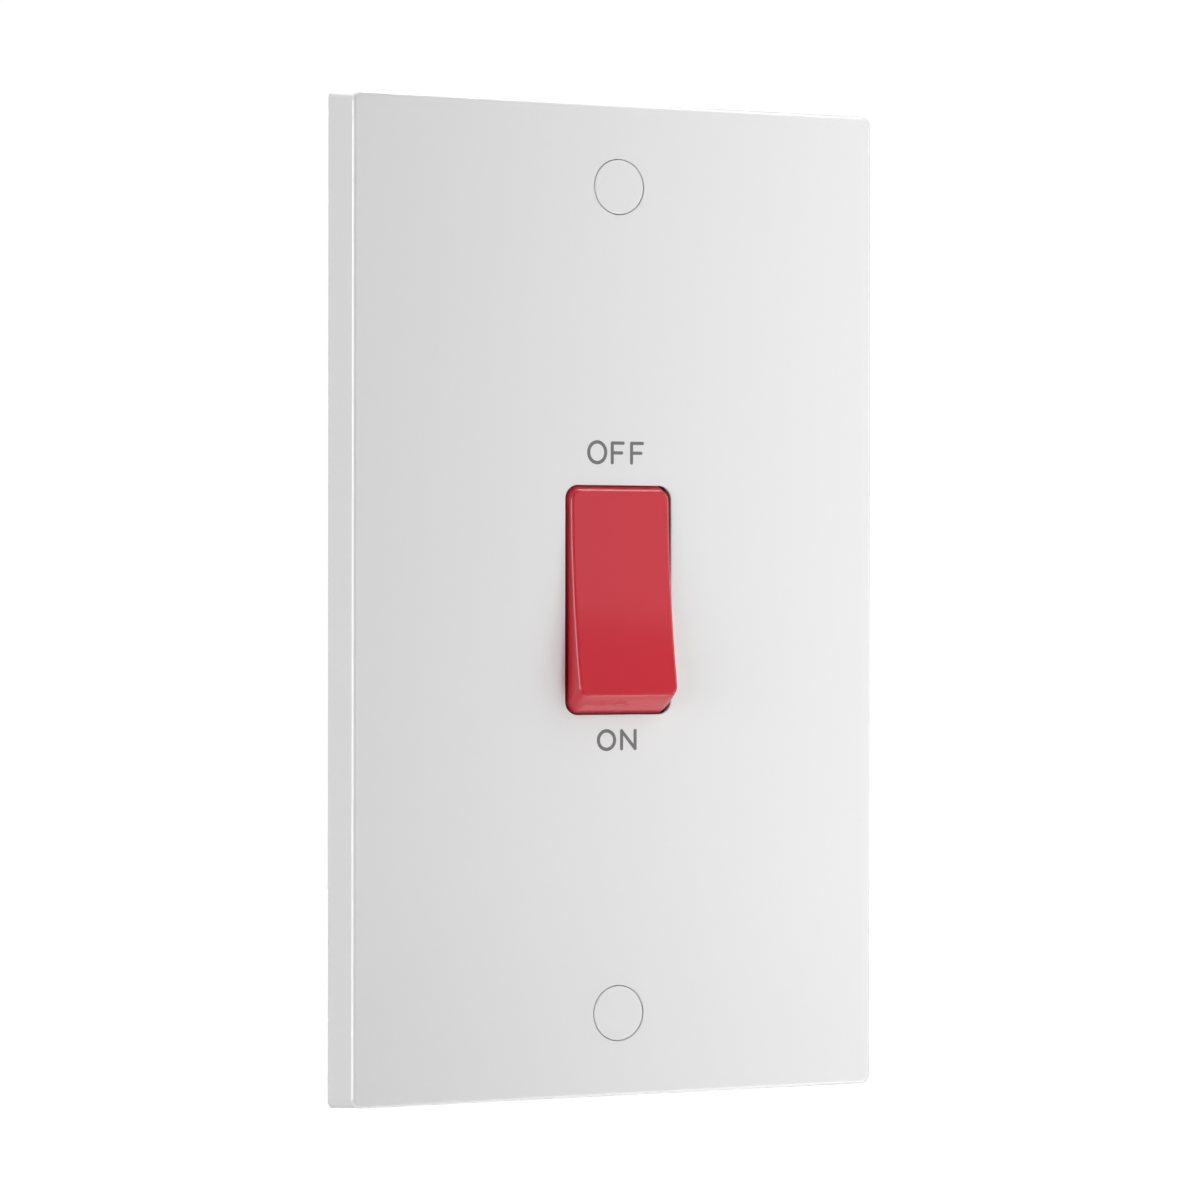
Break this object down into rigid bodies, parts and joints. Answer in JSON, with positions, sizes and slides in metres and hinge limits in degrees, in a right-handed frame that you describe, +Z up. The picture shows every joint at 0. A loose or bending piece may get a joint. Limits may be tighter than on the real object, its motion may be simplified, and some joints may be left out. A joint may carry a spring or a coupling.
{
  "type": "double pole switch",
  "caption": "Tall twin wall plate with a red rocker that isolates both poles of a cooker or shower circuit, flush screw caps, and a rear housing with screw terminals.",
  "frame": {"origin": "on the wall's surface, half way between the two fixing screws", "axes": "+X right as seen from the room, +Y into the wall, +Z up"},
  "size_m": [0.086, 0.0352, 0.146],
  "materials": {
    "white_urea": "glossy moulded urea",
    "red_plastic": "satin gloss",
    "cover_plastic": "satin moulding",
    "housing_plastic": "matt thermoset moulding",
    "nylon": "natural nylon",
    "zinc_steel": "bright zinc plate",
    "spring_steel": "drawn wire",
    "brass": "machined brass",
    "copper": "pressed copper",
    "silver": "silver alloy contact"
  },
  "bodies": {
    "switch_plate": {"front_plate": "white_urea", "screw_cap_top": "white_urea", "screw_cap_bottom": "white_urea", "mechanism_cover": "cover_plastic", "mechanism_housing": "housing_plastic", "housing_screws": "zinc_steel", "fixing_screw_top": "zinc_steel", "fixing_screw_bottom": "zinc_steel", "earth_terminal": "brass", "earth_screws": "zinc_steel", "earth_fixing_screw": "zinc_steel", "fixed_tip_left": "silver", "supply_terminal_left": "brass", "load_terminal_left": "brass", "supply_screws_left": "zinc_steel", "load_screws_left": "zinc_steel", "fixed_tip_right": "silver", "supply_terminal_right": "brass", "load_terminal_right": "brass", "supply_screws_right": "zinc_steel", "load_screws_right": "zinc_steel"},
    "rocker": {"rocker": "red_plastic", "plunger_spring_left": "spring_steel", "plunger_spring_right": "spring_steel"},
    "plunger_left": {"plunger_left": "nylon"},
    "contact_left": {"moving_contact_left": "copper", "moving_tip_left": "silver"},
    "plunger_right": {"plunger_right": "nylon"},
    "contact_right": {"moving_contact_right": "copper", "moving_tip_right": "silver"}
  },
  "joints": [
    {"name": "rocker_tilt", "type": "hinge", "parent": "switch_plate", "child": "rocker", "pos_m": [0, 0.0005, 0], "axis": [1, 0, 0], "range_deg": [0, 12]},
    {"name": "plunger_left_slide", "type": "slide", "parent": "rocker", "child": "plunger_left", "axis": [0, -0.9945, 0.1045], "range_m": [0, 0.0012], "stiffness_N_per_m": 900, "springref_m": -0.0015, "deforming": ["plunger_spring_left"]},
    {"name": "plunger_right_slide", "type": "slide", "parent": "rocker", "child": "plunger_right", "axis": [0, -0.9945, 0.1045], "range_m": [0, 0.0012], "stiffness_N_per_m": 900, "springref_m": -0.0015, "deforming": ["plunger_spring_right"]},
    {"name": "contact_left_rock", "type": "hinge", "parent": "switch_plate", "child": "contact_left", "pos_m": [-0.0044, 0.015, 0], "axis": [1, 0, 0], "range_deg": [-12, 0]},
    {"name": "contact_right_rock", "type": "hinge", "parent": "switch_plate", "child": "contact_right", "pos_m": [0.0044, 0.015, 0], "axis": [1, 0, 0], "range_deg": [-12, 0]}
  ],
  "couplings": [
    {"joint": "contact_left_rock", "follows": "rocker_tilt", "ratio": -1},
    {"joint": "contact_right_rock", "follows": "rocker_tilt", "ratio": -1}
  ]
}
